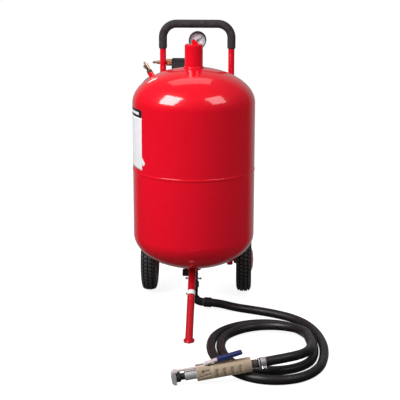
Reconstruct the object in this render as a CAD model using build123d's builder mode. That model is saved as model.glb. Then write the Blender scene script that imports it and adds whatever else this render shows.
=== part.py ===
from build123d import *
import os
from math import cos, pi, radians, sin, tan

os.makedirs("parts", exist_ok=True)

# A wheeled pressure-pot blaster, in millimetres. The origin is the middle of the front foot's
# underside on the floor, +X is to the right, +Y goes back towards the wheels and +Z is up.

# ------------------------------------------------------------------ driving sizes
FIT = 0.05                  # radial clearance of a shaft in its hole

TANK_Y = 270.0              # the tank's axis, behind the front foot
TANK_R = 180.0
WALL = 3.0
HEAD_H = 103.0              # height of each elliptical head
LOW_Z = 248.0               # where the lower head meets the straight wall
SEAM_Z = 445.0              # girth seam
TOP_Z = 641.0               # where the straight wall meets the upper head

NECK_R = 26.5
NECK_BORE = 22.5
NECK_TOP = 791.0

FRAME_Y = 475.0             # plane of the handle tube, the axle and the wheels
LEG_X = 105.0
TUBE_R = 9.5
TUBE_BORE = 7.7
BAR_Z = 849.7
BAR_BEND = 42.0
FOAM_R = 12.75

AXLE_R = 6.35
WHEEL_R = 101.6
WHEEL_X = 150.0             # middle of the tread
TYRE_W = 48.0
RIM_R = 42.0

AIR_Y = 500.0               # the air inlet line runs across, behind the tank
AIR_Z = 728.0
PIPE_R = 6.9
PIPE_BORE = 7.0
GAUGE_Z = 797.0
GAUGE_R = 27.0
AIR_LINE_R = 4.0

VALVE_Z = 112.0             # media valve below the tank
MIX_Z = 83.0                # air joins the media in the mixing tee
OUTLET_BEND = 28.0

HOSE_R = 12.7
HOSE_Z = 12.8               # hose centreline when it lies on the floor

GUN_TIP = Vector(-28, -320, 18.5)
GUN_YAW = 10.0
GUN_PITCH = 7.8
BODY_R = 19.5
BODY_START, BODY_END = 66.0, 210.0
GUN_END = 229.0             # the hose starts here, measured along the gun
PIVOT_S, PIVOT_H = 82.0, 15.0

# ------------------------------------------------------------------ shared frames
UP = (0, 0, 1)
BACK = (0, 1, 0)
RIGHT = (1, 0, 0)
LEFT = (-1, 0, 0)
TANK_FOOT = (0, TANK_Y, 0)
TANK_AXIS = Axis(TANK_FOOT, UP)
AXIAL = Plane(origin=TANK_FOOT, x_dir=RIGHT, z_dir=(0, -1, 0))
AXLE_CENTRE = (0, FRAME_Y, WHEEL_R)

yaw, pitch = radians(GUN_YAW), radians(GUN_PITCH)
gun_along = Vector(cos(pitch) * cos(yaw), cos(pitch) * sin(yaw), sin(pitch))
gun_right = Vector(-sin(yaw), cos(yaw), 0)
gun_up = gun_along.cross(gun_right)
GUN_SIDE = Plane(origin=GUN_TIP, x_dir=gun_along, z_dir=gun_right * -1)

VALVE_BASE = Vector(-125, 306, 712.2)
valve_out = Vector(-0.494, 0.142, 0.8576).normalized()


def gun_point(along, side, height):
    """A place on the gun: along its barrel, out to its right side, and up."""
    return GUN_TIP + gun_along * along + gun_right * side + gun_up * height


def turned(origin, direction, *profile):
    """Solid turned about a line; the closed profile lists (distance along, radius)."""
    along = Vector(*direction).normalized()
    helper = Vector(0, 0, 1) if abs(along.Z) < 0.9 else Vector(0, 1, 0)
    with BuildPart() as solid:
        with BuildSketch(Plane(origin=origin, x_dir=along, z_dir=along.cross(helper))):
            with BuildLine():
                Polyline(*profile, close=True)
            make_face()
        revolve(axis=Axis(origin, along))
    return solid.part


def rod(start, end, radius):
    """Round bar from one point to another."""
    start, end = Vector(*start), Vector(*end)
    return turned(start, end - start, (0, 0), (0, radius), ((end - start).length, radius),
                  ((end - start).length, 0))


def hexagon_bar(start, end, across_flats):
    """Hexagonal bar from one point to another."""
    start, end = Vector(*start), Vector(*end)
    with BuildPart() as solid:
        with BuildSketch(Plane(origin=start, z_dir=end - start)):
            RegularPolygon(across_flats / 2, 6, major_radius=False)
        extrude(amount=(end - start).length)
    return solid.part


def side_plate(half_width, *points):
    """Plate of the gun: an outline of (along, height) points, thickened to both sides."""
    with BuildPart() as solid:
        with BuildSketch(GUN_SIDE):
            with BuildLine():
                Polyline(*points, close=True)
            make_face()
        extrude(amount=half_width, both=True)
    return solid.part


def largest_radii(points, share=0.45):
    """For each corner of a route, the largest radius that its two runs leave room for."""
    route = [Vector(*point) for point in points]
    radii = []
    for before, corner, after in zip(route, route[1:], route[2:]):
        turn = radians((corner - before).get_angle(after - corner))
        shorter = min((corner - before).length, (after - corner).length)
        radii.append(share * shorter / tan(turn / 2))
    return radii


def half_tank(inset, rising):
    """Filled half of the tank above or below the seam, with its skin moved in by inset."""
    tangent = TOP_Z if rising else LOW_Z
    start = 0 if rising else 270
    with BuildPart() as half:
        with BuildSketch(AXIAL):
            with BuildLine():
                head = EllipticalCenterArc((0, tangent), TANK_R - inset, HEAD_H - inset,
                                           start_angle=start, arc_size=90)
                rim, tip = (head @ 0, head @ 1) if rising else (head @ 1, head @ 0)
                Polyline(rim, (TANK_R - inset, SEAM_Z), (0, SEAM_Z), tip)
            make_face()
        revolve(axis=TANK_AXIS)
    return half.part


with BuildPart() as tank_envelope:
    add(half_tank(0, True))
    add(half_tank(0, False))

# ------------------------------------------------------------------ tank
INLET_BUNG_Y = 430.0
BUNG_TOP = 12.0             # height of the safety valve's bung above the head
SAFETY_HOLE = 4.0
OUTLET_HOLE = 9.0

with BuildPart() as tank_upper_shell:
    add(half_tank(0, True))
    add(half_tank(WALL, True), mode=Mode.SUBTRACT)
    add(rod((0, TANK_Y, TOP_Z), (0, TANK_Y, NECK_TOP), NECK_R + FIT), mode=Mode.SUBTRACT)
    add(rod((0, INLET_BUNG_Y, TOP_Z), (0, INLET_BUNG_Y, AIR_Z), 6), mode=Mode.SUBTRACT)
    add(rod(VALVE_BASE - valve_out * 15, VALVE_BASE + valve_out * 5, SAFETY_HOLE),
        mode=Mode.SUBTRACT)
tank_upper_shell.part.label = "tank_upper_shell"
export_step(tank_upper_shell.part, "parts/tank_upper_shell.step")

# The girth weld stands 1.2 mm proud and belongs to the lower shell.
with BuildPart() as tank_lower_shell:
    with BuildSketch(AXIAL):
        with Locations((TANK_R, SEAM_Z)):
            Ellipse(1.2, 4)
    revolve(axis=TANK_AXIS)
    add(half_tank(0, True), mode=Mode.SUBTRACT)
    add(half_tank(0, False))
    add(half_tank(WALL, False), mode=Mode.SUBTRACT)
    add(rod((0, TANK_Y, 130), (0, TANK_Y, 160), OUTLET_HOLE), mode=Mode.SUBTRACT)
tank_lower_shell.part.label = "tank_lower_shell"
export_step(tank_lower_shell.part, "parts/tank_lower_shell.step")

with BuildPart() as filler_neck:
    add(turned(TANK_FOOT, UP, (738, 24), (738, 30), (744.5, 30), (748, 27.3), (748, 24)))
    add(tank_envelope.part, mode=Mode.SUBTRACT)
    add(turned(TANK_FOOT, UP, (732, NECK_BORE), (732, NECK_R), (763.6, NECK_R),
               (764, NECK_R - 0.4), (764.4, NECK_R), (NECK_TOP, NECK_R),
               (NECK_TOP, NECK_BORE)))
    add(rod((0, TANK_Y, 730), (0, TANK_Y, NECK_TOP), NECK_BORE), mode=Mode.SUBTRACT)
filler_neck.part.label = "filler_neck"
export_step(filler_neck.part, "parts/filler_neck.step")

# ------------------------------------------------------------------ filler cap
GASKET_T = 2.0
CAP_SKIRT_Z = NECK_TOP + GASKET_T
CAP_TOP = 811.0
TAB_TOP = 825.0

with BuildPart() as cap_gasket:
    add(turned(TANK_FOOT, UP, (NECK_TOP, 22.8), (NECK_TOP, 24.3), (CAP_SKIRT_Z, 24.3),
               (CAP_SKIRT_Z, 22.8)))
cap_gasket.part.label = "cap_gasket"
export_step(cap_gasket.part, "parts/cap_gasket.step")

with BuildPart() as filler_cap:
    add(turned(TANK_FOOT, UP, (781, 0), (781, 22.4), (CAP_SKIRT_Z, 22.4),
               (CAP_SKIRT_Z, 24.5), (NECK_TOP + 0.1, 24.5), (NECK_TOP + 0.1, NECK_R - 0.2),
               (NECK_TOP + 0.3, NECK_R), (808.5, NECK_R), (CAP_TOP, 24), (CAP_TOP, 0)))
    with BuildSketch(Plane(origin=(0, TANK_Y, 0), x_dir=RIGHT, z_dir=(0, -1, 0))):
        with BuildLine():
            Polyline((-5, CAP_TOP - 1), (13, CAP_TOP - 1), (13, 815), (7, 820), (2, TAB_TOP),
                     (-3, TAB_TOP), (-5, 823), close=True)
        make_face()
    extrude(amount=3, both=True)
filler_cap.part.label = "filler_cap"
export_step(filler_cap.part, "parts/filler_cap.step")

# ------------------------------------------------------------------ welded bungs
with BuildPart() as threaded_bungs:
    add(rod(VALVE_BASE - valve_out * 8, VALVE_BASE + valve_out * BUNG_TOP, 8.5))
    add(rod((0, INLET_BUNG_Y, 660), (0, INLET_BUNG_Y, 704), 13))
    add(turned(TANK_FOOT, UP, (131, 0), (131, 22), (150, 22), (150, 0)))
    add(tank_envelope.part, mode=Mode.SUBTRACT)
    add(rod(VALVE_BASE - valve_out * 9, VALVE_BASE + valve_out * 15, 5.45), mode=Mode.SUBTRACT)
    add(rod((0, INLET_BUNG_Y, 650), (0, INLET_BUNG_Y, 710), PIPE_BORE), mode=Mode.SUBTRACT)
    add(rod((0, TANK_Y, 120), (0, TANK_Y, 160), OUTLET_HOLE), mode=Mode.SUBTRACT)
threaded_bungs.part.label = "threaded_bungs"
export_step(threaded_bungs.part, "parts/threaded_bungs.step")

# ------------------------------------------------------------------ safety valve
valve_seat = VALVE_BASE + valve_out * BUNG_TOP
STEM_R = 2.0
RING_R = 8.0
RING_WIRE = 1.1
RING_S = 33.0               # where the ring passes through the stem

with BuildPart() as safety_valve_body:
    add(hexagon_bar(valve_seat, valve_seat + valve_out * 8, 14))
    add(turned(valve_seat, valve_out, (-8, 0), (-8, 5.4), (0.5, 5.4), (8, 5.2), (14, 5.2),
               (14, 6.5), (27, 6.5), (28, 5.5), (28, 0)))
    add(turned(valve_seat, valve_out, (-9, 0), (-9, 3), (12, 3), (12, 4.6), (25, 4.6),
               (25, STEM_R + FIT), (29, STEM_R + FIT), (29, 0)), mode=Mode.SUBTRACT)
safety_valve_body.part.label = "safety_valve_body"
export_step(safety_valve_body.part, "parts/safety_valve_body.step")

ring_hole = valve_seat + valve_out * RING_S
ring_wire_dir = Vector(0, 0, 1).cross(valve_out).normalized()
ring_centre = ring_hole - Vector(0, 0, RING_R)

with BuildPart() as safety_stem:
    add(turned(valve_seat, valve_out, (12.2, 0), (12.2, 4.2), (14.2, 4.2), (14.2, STEM_R),
               (28.3, STEM_R), (28.3, 2.9), (35.2, 2.9), (36, 2.2), (36, 0)))
    add(rod(ring_hole - ring_wire_dir * 5, ring_hole + ring_wire_dir * 5, 1.7),
        mode=Mode.SUBTRACT)
safety_stem.part.label = "safety_stem"
export_step(safety_stem.part, "parts/safety_stem.step")

with BuildPart() as safety_ring:
    with BuildSketch(Plane(origin=ring_hole, x_dir=UP, z_dir=ring_wire_dir)):
        Circle(RING_WIRE)
    revolve(axis=Axis(ring_centre, ring_wire_dir.cross(Vector(0, 0, 1))))
safety_ring.part.label = "safety_ring"
export_step(safety_ring.part, "parts/safety_ring.step")

with BuildPart() as safety_spring:
    with BuildLine():
        coil = Helix(pitch=1.9, height=9.5, radius=3.2, center=valve_seat + valve_out * 14.8,
                     direction=valve_out)
    with BuildSketch(Plane(origin=coil @ 0, z_dir=coil % 0)):
        Circle(0.4)
    sweep(path=coil, is_frenet=True)
safety_spring.part.label = "safety_spring"
export_step(safety_spring.part, "parts/safety_spring.step")

# ------------------------------------------------------------------ air inlet line
PLUG_TIP_X = -139.2
AIR_HEAD = (0, AIR_Y, AIR_Z)
SEPARATOR_X = -58.25

with BuildPart() as air_plug:
    add(turned((PLUG_TIP_X, AIR_Y, AIR_Z), RIGHT, (0, 0), (0, 3.2), (0.8, 4), (8.2, 4),
               (8.7, 3.3), (13.2, 3.3), (13.7, 5.9), (20.2, 5.9), (20.7, 5), (28, 5), (28, 0)))
    add(hexagon_bar((-112, AIR_Y, AIR_Z), (-104, AIR_Y, AIR_Z), 14))
    add(rod((PLUG_TIP_X - 1, AIR_Y, AIR_Z), (-103, AIR_Y, AIR_Z), 2.4), mode=Mode.SUBTRACT)
air_plug.part.label = "air_plug"
export_step(air_plug.part, "parts/air_plug.step")

# The hexagon nipple and three close nipples, all brass.
with BuildPart() as pipe_nipples:
    add(rod((-104, AIR_Y, AIR_Z), (-95, AIR_Y, AIR_Z), 6.5))
    add(hexagon_bar((-96.3, AIR_Y, AIR_Z), (-79.5, AIR_Y, AIR_Z), 18.5))
    add(rod((-80, AIR_Y, AIR_Z), (-71, AIR_Y, AIR_Z), PIPE_R))
    add(rod((-43, AIR_Y, AIR_Z), (-13, AIR_Y, AIR_Z), PIPE_R))
    add(rod((0, 489, AIR_Z), (0, 441, AIR_Z), PIPE_R))
    add(rod((0, INLET_BUNG_Y, 697), (0, INLET_BUNG_Y, 717), PIPE_R))
    add(rod((-105, AIR_Y, AIR_Z), (-12, AIR_Y, AIR_Z), 4.2), mode=Mode.SUBTRACT)
    add(rod((0, 490, AIR_Z), (0, 440, AIR_Z), 4.2), mode=Mode.SUBTRACT)
    add(rod((0, INLET_BUNG_Y, 690), (0, INLET_BUNG_Y, 720), 4.2), mode=Mode.SUBTRACT)
pipe_nipples.part.label = "pipe_nipples"
export_step(pipe_nipples.part, "parts/pipe_nipples.step")

with BuildPart() as separator_head:
    with BuildSketch(Plane(origin=(0, AIR_Y, 0), x_dir=RIGHT, z_dir=(0, -1, 0))):
        with BuildLine():
            Polyline((-79.5, 706), (-76, 700), (-37, 700), (-37, 739.5), (-79.5, 739.5),
                     close=True)
        make_face()
    extrude(amount=20, both=True)
    fillet(separator_head.edges().filter_by(Axis.Z), 4)
    fillet(separator_head.faces().sort_by(Axis.Z)[-1].edges(), 2)
    add(rod((-80, AIR_Y, AIR_Z), (-70, AIR_Y, AIR_Z), PIPE_BORE), mode=Mode.SUBTRACT)
    add(rod((-44, AIR_Y, AIR_Z), (-36, AIR_Y, AIR_Z), PIPE_BORE), mode=Mode.SUBTRACT)
    add(rod((-72, AIR_Y, AIR_Z), (-42, AIR_Y, AIR_Z), 4), mode=Mode.SUBTRACT)
    add(rod((SEPARATOR_X, AIR_Y, 699), (SEPARATOR_X, AIR_Y, AIR_Z), 5), mode=Mode.SUBTRACT)
separator_head.part.label = "separator_head"
export_step(separator_head.part, "parts/separator_head.step")

with BuildPart() as separator_bowl:
    add(turned((SEPARATOR_X, AIR_Y, 0), UP, (640, 3.05), (640, 14), (646, 20), (700, 20),
               (700, 18), (647, 18), (643, 13), (643, 3.05)))
separator_bowl.part.label = "separator_bowl"
export_step(separator_bowl.part, "parts/separator_bowl.step")

with BuildPart() as separator_filter:
    add(turned((SEPARATOR_X, AIR_Y, 0), UP, (655, 0), (655, 10), (700, 10), (700, 6),
               (659, 6), (659, 0)))
separator_filter.part.label = "separator_filter"
export_step(separator_filter.part, "parts/separator_filter.step")

with BuildPart() as separator_drain:
    add(turned((SEPARATOR_X, AIR_Y, 0), UP, (628, 0), (628, 4.4), (628.6, 5), (639.6, 5),
               (639.6, 3), (648, 3), (648, 0)))
    add(rod((SEPARATOR_X, AIR_Y, 627), (SEPARATOR_X, AIR_Y, 640), 1.2), mode=Mode.SUBTRACT)
separator_drain.part.label = "separator_drain"
export_step(separator_drain.part, "parts/separator_drain.step")

with BuildPart() as manifold_cross:
    add(rod((0, AIR_Y, 714), (0, AIR_Y, 742), 12))
    add(rod((-18, AIR_Y, AIR_Z), (0, AIR_Y, AIR_Z), 12))
    add(rod((0, AIR_Y, AIR_Z), (0, 484, AIR_Z), 12))
    add(rod((0, AIR_Y, 713), (0, AIR_Y, 743), PIPE_BORE), mode=Mode.SUBTRACT)
    add(rod((-19, AIR_Y, AIR_Z), (0, AIR_Y, AIR_Z), PIPE_BORE), mode=Mode.SUBTRACT)
    add(rod((0, AIR_Y, AIR_Z), (0, 483, AIR_Z), PIPE_BORE), mode=Mode.SUBTRACT)
manifold_cross.part.label = "manifold_cross"
export_step(manifold_cross.part, "parts/manifold_cross.step")

with BuildPart() as inlet_elbow:
    add(rod((0, 446, AIR_Z), (0, INLET_BUNG_Y, AIR_Z), 12))
    add(rod((0, INLET_BUNG_Y, AIR_Z), (0, INLET_BUNG_Y, 712), 12))
    with Locations((0, INLET_BUNG_Y, AIR_Z)):
        Sphere(12)
    add(rod((0, 447, AIR_Z), (0, INLET_BUNG_Y, AIR_Z), PIPE_BORE), mode=Mode.SUBTRACT)
    add(rod((0, INLET_BUNG_Y, AIR_Z), (0, INLET_BUNG_Y, 711), PIPE_BORE), mode=Mode.SUBTRACT)
    with Locations((0, INLET_BUNG_Y, AIR_Z)):
        Sphere(PIPE_BORE, mode=Mode.SUBTRACT)
inlet_elbow.part.label = "inlet_elbow"
export_step(inlet_elbow.part, "parts/inlet_elbow.step")

# ------------------------------------------------------------------ pressure gauge
# The gauge faces forward; distances are measured forward from the middle of its case.
GAUGE_CENTRE = (0, AIR_Y, GAUGE_Z)
FORWARD = (0, -1, 0)
NEEDLE_ANGLE = 34.0         # above level, to the right, with no pressure in the tank

with BuildPart() as gauge_case:
    add(turned(GAUGE_CENTRE, FORWARD, (-13, 0), (-13, 25), (-11, GAUGE_R), (10, GAUGE_R),
               (13, 26), (13, 24), (10.5, 23.6), (10.5, 25.2), (-10.5, 25.2), (-10.5, 0)))
    add(rod((0, AIR_Y, GAUGE_Z - GAUGE_R - 1), (0, AIR_Y, GAUGE_Z - 24), 4.5),
        mode=Mode.SUBTRACT)
gauge_case.part.label = "gauge_case"
export_step(gauge_case.part, "parts/gauge_case.step")

with BuildPart() as gauge_socket:
    with BuildSketch(Plane.XY.offset(742)):
        with Locations((0, AIR_Y)):
            Rectangle(11, 11)
    extrude(amount=32)
    add(turned(GAUGE_CENTRE, FORWARD, (-14, 0), (-14, GAUGE_R), (14, GAUGE_R), (14, 0)),
        mode=Mode.SUBTRACT)
    add(rod((0, AIR_Y, 734), (0, AIR_Y, 750), PIPE_R))
    add(rod((0, AIR_Y, 768), (0, AIR_Y, 771.7), 4.4))
    add(rod((0, AIR_Y, 733), (0, AIR_Y, GAUGE_Z - 25), 2), mode=Mode.SUBTRACT)
gauge_socket.part.label = "gauge_socket"
export_step(gauge_socket.part, "parts/gauge_socket.step")

with BuildPart() as gauge_dial:
    add(turned(GAUGE_CENTRE, FORWARD, (2, 1.05), (2, 25), (2.8, 25), (2.8, 1.05)))
gauge_dial.part.label = "gauge_dial"
export_step(gauge_dial.part, "parts/gauge_dial.step")

with BuildPart() as gauge_lens:
    add(turned(GAUGE_CENTRE, FORWARD, (8.5, 0), (8.5, 25.1), (10.5, 25.1), (10.5, 0)))
gauge_lens.part.label = "gauge_lens"
export_step(gauge_lens.part, "parts/gauge_lens.step")

needle_plane = Plane(origin=(0, AIR_Y - 5.4, GAUGE_Z), z_dir=FORWARD,
                     x_dir=(cos(radians(NEEDLE_ANGLE)), 0, sin(radians(NEEDLE_ANGLE))))
with BuildPart() as gauge_needle:
    with BuildSketch(needle_plane):
        with BuildLine():
            Polyline((-8, -2), (-8, 2), (0, 1.6), (18, 0.7), (19.5, 0), (18, -0.7), (0, -1.6),
                     close=True)
        make_face()
        Circle(3.2)
    extrude(amount=0.6)
    add(turned(GAUGE_CENTRE, FORWARD, (0, 0), (0, 1), (7, 1), (7, 0)))
gauge_needle.part.label = "gauge_needle"
export_step(gauge_needle.part, "parts/gauge_needle.step")

# ------------------------------------------------------------------ handle, frame and wheels
def handle_route(foot_z):
    """Corners of the U-shaped handle, from one leg's lower end to the other's."""
    return [(-LEG_X, FRAME_Y, foot_z), (-LEG_X, FRAME_Y, BAR_Z),
            (LEG_X, FRAME_Y, BAR_Z), (LEG_X, FRAME_Y, foot_z)]


with BuildPart() as handle_tube:
    with BuildLine():
        handle_line = FilletPolyline(*handle_route(85), radius=BAR_BEND)
    with BuildSketch(Plane(origin=handle_line @ 0, z_dir=handle_line % 0)):
        Circle(TUBE_R)
        Circle(TUBE_BORE, mode=Mode.SUBTRACT)
    sweep(path=handle_line)
    add(rod((-LEG_X - 15, FRAME_Y, WHEEL_R), (LEG_X + 15, FRAME_Y, WHEEL_R), AXLE_R + FIT),
        mode=Mode.SUBTRACT)
handle_tube.part.label = "handle_tube"
export_step(handle_tube.part, "parts/handle_tube.step")

with BuildPart() as foam_grip:
    with BuildLine():
        grip_line = FilletPolyline(*handle_route(774), radius=BAR_BEND)
    with BuildSketch(Plane(origin=grip_line @ 0, z_dir=grip_line % 0)):
        Circle(FOAM_R)
        Circle(TUBE_R + FIT, mode=Mode.SUBTRACT)
    sweep(path=grip_line)
foam_grip.part.label = "foam_grip"
export_step(foam_grip.part, "parts/foam_grip.step")

with BuildPart() as tank_brackets:
    with BuildSketch(Plane.YZ):
        with Locations(((410 + 466.4) / 2, 300), ((410 + 466.4) / 2, 560)):
            Rectangle(56.4, 40)
    extrude(amount=LEG_X + 2.5, both=True)
    with Locations((0, 440, 430)):
        Box(2 * LEG_X - 5, 120, 400, mode=Mode.SUBTRACT)
    add(tank_envelope.part, mode=Mode.SUBTRACT)
    for side in (-1, 1):
        add(rod((side * LEG_X, FRAME_Y, 250), (side * LEG_X, FRAME_Y, 600), TUBE_R),
            mode=Mode.SUBTRACT)
tank_brackets.part.label = "tank_brackets"
export_step(tank_brackets.part, "parts/tank_brackets.step")

with BuildPart() as axle:
    add(turned(AXLE_CENTRE, RIGHT, (-178.5, 0), (-178.5, 5.5), (-177.6, AXLE_R),
               (177.6, AXLE_R), (178.5, 5.5), (178.5, 0)))
axle.part.label = "axle"
export_step(axle.part, "parts/axle.step")

with BuildPart() as axle_washers:
    for near in (117.4, 172.1):
        for side in (-1, 1):
            add(turned(AXLE_CENTRE, (side, 0, 0), (near, AXLE_R + FIT), (near, 11),
                       (near + 1.3, 11), (near + 1.3, AXLE_R + FIT)))
axle_washers.part.label = "axle_washers"
export_step(axle_washers.part, "parts/axle_washers.step")

with BuildPart() as axle_caps:
    for side in (-1, 1):
        add(turned(AXLE_CENTRE, (side, 0, 0), (173.5, AXLE_R + FIT), (173.5, 9.5),
                   (178.5, 9.5), (180.5, 7), (180.5, 0), (179, 0), (179, AXLE_R + FIT)))
axle_caps.part.label = "axle_caps"
export_step(axle_caps.part, "parts/axle_caps.step")

for side_name, side in (("left", -1), ("right", 1)):
    wheel_dir = (side, 0, 0)

    with BuildPart() as wheel_rim:
        add(turned(AXLE_CENTRE, wheel_dir, (119, AXLE_R + 0.07), (119, 13), (140, 15),
                   (160, 16), (173, 18), (174, 24), (169, 36), (166, 38.5), (131, 38.5),
                   (131, RIM_R), (171, RIM_R), (173.5, 39), (178, 27), (179.5, 17),
                   (178, 14), (172, 13), (172, AXLE_R + 0.07)))
    wheel_rim.part.label = f"wheel_{side_name}_rim"
    export_step(wheel_rim.part, f"parts/wheel_{side_name}_rim.step")

    half_w = TYRE_W / 2
    with BuildPart() as wheel_tyre:
        tyre_plane = Plane(origin=AXLE_CENTRE, x_dir=wheel_dir, z_dir=(0, -side, 0))
        with BuildSketch(tyre_plane):
            with BuildLine():
                shoulder = ThreePointArc((WHEEL_X - half_w + 0.6, 84), (WHEEL_X - 20, 96.5),
                                         (WHEEL_X - 13, 100))
                tread = ThreePointArc(shoulder @ 1, (WHEEL_X, WHEEL_R), (WHEEL_X + 13, 100))
                far_shoulder = ThreePointArc(tread @ 1, (WHEEL_X + 20, 96.5),
                                             (WHEEL_X + half_w - 0.6, 84))
                far_wall = ThreePointArc(far_shoulder @ 1, (WHEEL_X + half_w, 72),
                                         (WHEEL_X + 19, 47))
                Polyline(far_wall @ 1, (WHEEL_X + 18, RIM_R), (WHEEL_X - 18, RIM_R),
                         (WHEEL_X - 19, 47))
                ThreePointArc((WHEEL_X - 19, 47), (WHEEL_X - half_w, 72), shoulder @ 0)
            make_face()
        revolve(axis=Axis(AXLE_CENTRE, wheel_dir))
    wheel_tyre.part.label = f"wheel_{side_name}_tyre"
    export_step(wheel_tyre.part, f"parts/wheel_{side_name}_tyre.step")

# ------------------------------------------------------------------ front leg and foot
LEG_R = 11.0
FOOT_T = 5.0
leg_top = Vector(0, 194, 154.6)
leg_foot = Vector(0, 0, FOOT_T)
leg_line = (leg_top - leg_foot).normalized()

with BuildPart() as front_leg:
    add(rod(leg_foot - leg_line * 40, leg_top + leg_line * 20, LEG_R))
    add(rod(leg_foot - leg_line * 41, leg_top + leg_line * 21, LEG_R - 2), mode=Mode.SUBTRACT)
    split(bisect_by=Plane.XY.offset(FOOT_T), keep=Keep.TOP)
    add(tank_envelope.part, mode=Mode.SUBTRACT)
front_leg.part.label = "front_leg"
export_step(front_leg.part, "parts/front_leg.step")

with BuildPart() as foot_pad:
    with BuildSketch():
        Ellipse(15.75, 20)
    extrude(amount=FOOT_T)
    chamfer(foot_pad.faces().sort_by(Axis.Z)[-1].edges(), 1.2)
foot_pad.part.label = "foot_pad"
export_step(foot_pad.part, "parts/foot_pad.step")

# ------------------------------------------------------------------ media valve and outlet
PLUG_R = 8.0
SPINDLE_R = 4.0
BAR_Y = 235.0
VALVE_CENTRE = (0, TANK_Y, VALVE_Z)

with BuildPart() as media_valve_body:
    add(rod((0, TANK_Y, 92), (0, TANK_Y, 131), 13))
    add(rod((0, TANK_Y - 16, VALVE_Z), (0, TANK_Y + 16, VALVE_Z), 13))
    add(rod((0, TANK_Y, 119.5), (-27, TANK_Y, 119.5), 11.5))
    add(rod((0, 246, VALVE_Z), (0, TANK_Y - 14, VALVE_Z), 8))
    add(rod((0, TANK_Y, 91), (0, TANK_Y, 132), 5.5), mode=Mode.SUBTRACT)
    add(rod((0, TANK_Y - 12.1, VALVE_Z), (0, TANK_Y + 12.1, VALVE_Z), PLUG_R + FIT),
        mode=Mode.SUBTRACT)
    add(rod((0, 245, VALVE_Z), (0, TANK_Y, VALVE_Z), SPINDLE_R + FIT), mode=Mode.SUBTRACT)
    add(rod((-28, TANK_Y, 119.5), (-15, TANK_Y, 119.5), PIPE_BORE), mode=Mode.SUBTRACT)
    add(rod((-16, TANK_Y, 124.5), (0, TANK_Y, 124.5), 3), mode=Mode.SUBTRACT)
media_valve_body.part.label = "media_valve_body"
export_step(media_valve_body.part, "parts/media_valve_body.step")

with BuildPart() as cleanout_plug:
    with BuildSketch(Plane.YZ.offset(-27)):
        with Locations((TANK_Y, 119.5)):
            Rectangle(18, 18)
    extrude(amount=-7)
    chamfer(cleanout_plug.faces().sort_by(Axis.X)[0].edges(), 2)
    add(rod((-17, TANK_Y, 119.5), (-28, TANK_Y, 119.5), PIPE_R))
cleanout_plug.part.label = "cleanout_plug"
export_step(cleanout_plug.part, "parts/cleanout_plug.step")

with BuildPart() as media_valve_plug:
    add(turned(VALVE_CENTRE, FORWARD, (-12, 0), (-12, PLUG_R), (12, PLUG_R), (12, SPINDLE_R),
               (40, SPINDLE_R), (40, 0)))
    add(rod((-PLUG_R - 1, TANK_Y, VALVE_Z), (PLUG_R + 1, TANK_Y, VALVE_Z), 5),
        mode=Mode.SUBTRACT)
    add(rod((-5, BAR_Y, VALVE_Z), (5, BAR_Y, VALVE_Z), 2 + FIT), mode=Mode.SUBTRACT)
media_valve_plug.part.label = "media_valve_plug"
export_step(media_valve_plug.part, "parts/media_valve_plug.step")

with BuildPart() as valve_t_bar:
    add(turned((0, BAR_Y, VALVE_Z), RIGHT, (-23, 0), (-23, 2.4), (-22.2, 3.2), (-16, 3.2),
               (-16, 2), (20, 2), (20, 3.2), (24.2, 3.2), (25, 2.4), (25, 0)))
valve_t_bar.part.label = "valve_t_bar"
export_step(valve_t_bar.part, "parts/valve_t_bar.step")

with BuildPart() as mixing_tee:
    add(turned(TANK_FOOT, UP, (54, 0), (54, 12.5), (72, 13), (75, 16), (90, 16), (92, 14),
               (92, 0)))
    add(rod((0, TANK_Y, MIX_Z), (0, 304, MIX_Z), 8.8))
    add(rod((0, TANK_Y, 53), (0, TANK_Y, 93), 8), mode=Mode.SUBTRACT)
    add(rod((0, TANK_Y, MIX_Z), (0, 305, MIX_Z), 4), mode=Mode.SUBTRACT)
mixing_tee.part.label = "mixing_tee"
export_step(mixing_tee.part, "parts/mixing_tee.step")

# ------------------------------------------------------------------ blast hose
# It leaves the elbow to the right, lies in a flat spiral of two turns, and its last turn
# climbs over the one beneath it to reach the gun from behind.
gun_end = gun_point(GUN_END, 0, 0)
gun_lead = gun_point(GUN_END + 54, 0, 0)
HOSE_START = (31, TANK_Y, 26)

hose_floor = [
    (182, 240), (248, 210), (306, 168), (347, 104), (370, 22), (379, -63), (374, -145),
    (358, -220), (318, -279), (264, -306), (204, -305), (150, -274), (101, -208), (71, -132),
    (62, -54), (74, 24), (119, 88), (184, 123), (251, 123), (308, 88), (340, 27), (350, -42),
    (350, -110), (336, -178), (289, -228), (226, -246), (163, -229), (118, -182), (97, -115),
    (90, -52), (101, 15)]
hose_points = [HOSE_START, (75, 271, 23), (122, 264, HOSE_Z)]
hose_points += [(x, y, HOSE_Z) for x, y in hose_floor]
hose_points += [
    (140, 64, 14), (192, 88, 17), (249, 84, 21), (298, 55, 26), (330, 3, 35),
    (337, -68, 39), (342, -140, 45), (319, -223, 55), tuple(gun_lead), tuple(gun_end)]
hose_radii = largest_radii(hose_points)

with BuildPart() as blast_hose:
    with BuildLine():
        hose_line = FilletPolyline(*hose_points, radius=hose_radii)
    with BuildSketch(Plane(origin=hose_line @ 0, z_dir=hose_line % 0)):
        Circle(HOSE_R)
    sweep(path=hose_line)
blast_hose.part.label = "blast_hose"
export_step(blast_hose.part, "parts/blast_hose.step")

print("hose length", round(hose_line.length, 1), "radii", [round(r) for r in hose_radii])
print("hose volume against section x length",
      round(blast_hose.part.volume / (pi * HOSE_R**2 * hose_line.length), 5))

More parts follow.
